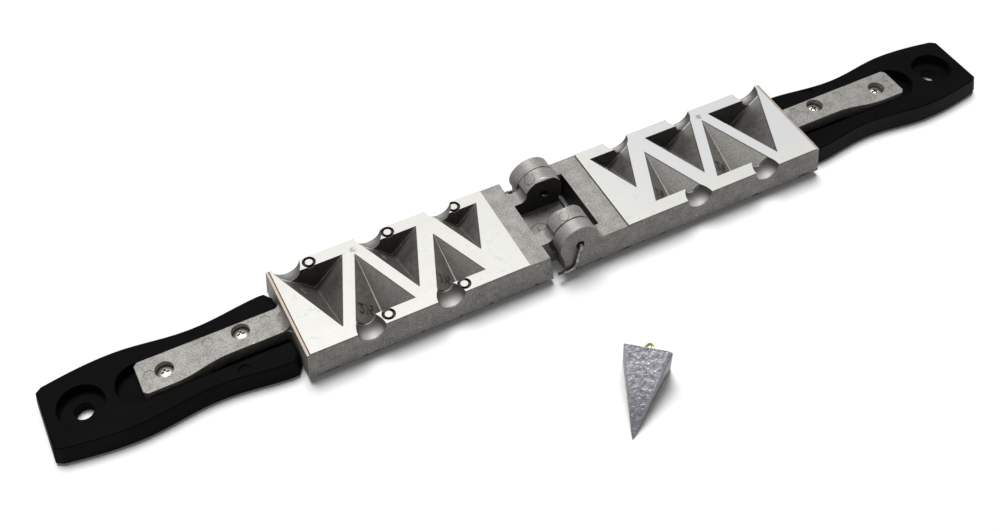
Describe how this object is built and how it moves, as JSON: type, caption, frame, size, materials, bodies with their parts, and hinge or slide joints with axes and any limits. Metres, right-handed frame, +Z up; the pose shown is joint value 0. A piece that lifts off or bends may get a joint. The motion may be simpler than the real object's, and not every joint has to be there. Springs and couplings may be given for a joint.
{
  "type": "sinker mould",
  "caption": "Hinged aluminium mould for pyramid fishing sinkers, lying open, with black plastic handles and a cast lead pyramid sinker with a brass eye.",
  "frame": {"origin": "on the face that the mould lies on, right under the middle of the hinge axis", "axes": "+X along the open mould from the hinge to the right half's handle, +Y to the back along the hinge axis, +Z up out of the parting faces"},
  "size_m": [0.522, 0.1561, 0.03],
  "materials": {
    "cast_aluminium": "as cast, ground on the parting face",
    "black_plastic": "moulded, satin",
    "screw_steel": "nickel plated",
    "pin_steel": "zinc plated",
    "lead": "as cast lead",
    "brass": "bright"
  },
  "bodies": {
    "left_half": {"left_mould_half": "cast_aluminium", "left_handle": "black_plastic", "left_inner_screw": "screw_steel", "left_outer_screw": "screw_steel", "sinker_body": "lead", "sinker_eye": "brass"},
    "right_half": {"right_mould_half": "cast_aluminium", "right_handle": "black_plastic", "right_inner_screw": "screw_steel", "right_outer_screw": "screw_steel", "front_hinge_pin": "pin_steel", "rear_hinge_pin": "pin_steel"}
  },
  "joints": [
    {"name": "mould_hinge", "type": "hinge", "parent": "left_half", "child": "right_half", "pos_m": [0, 0, 0.01905], "axis": [0, -1, 0], "range_deg": [0, 180]}
  ]
}
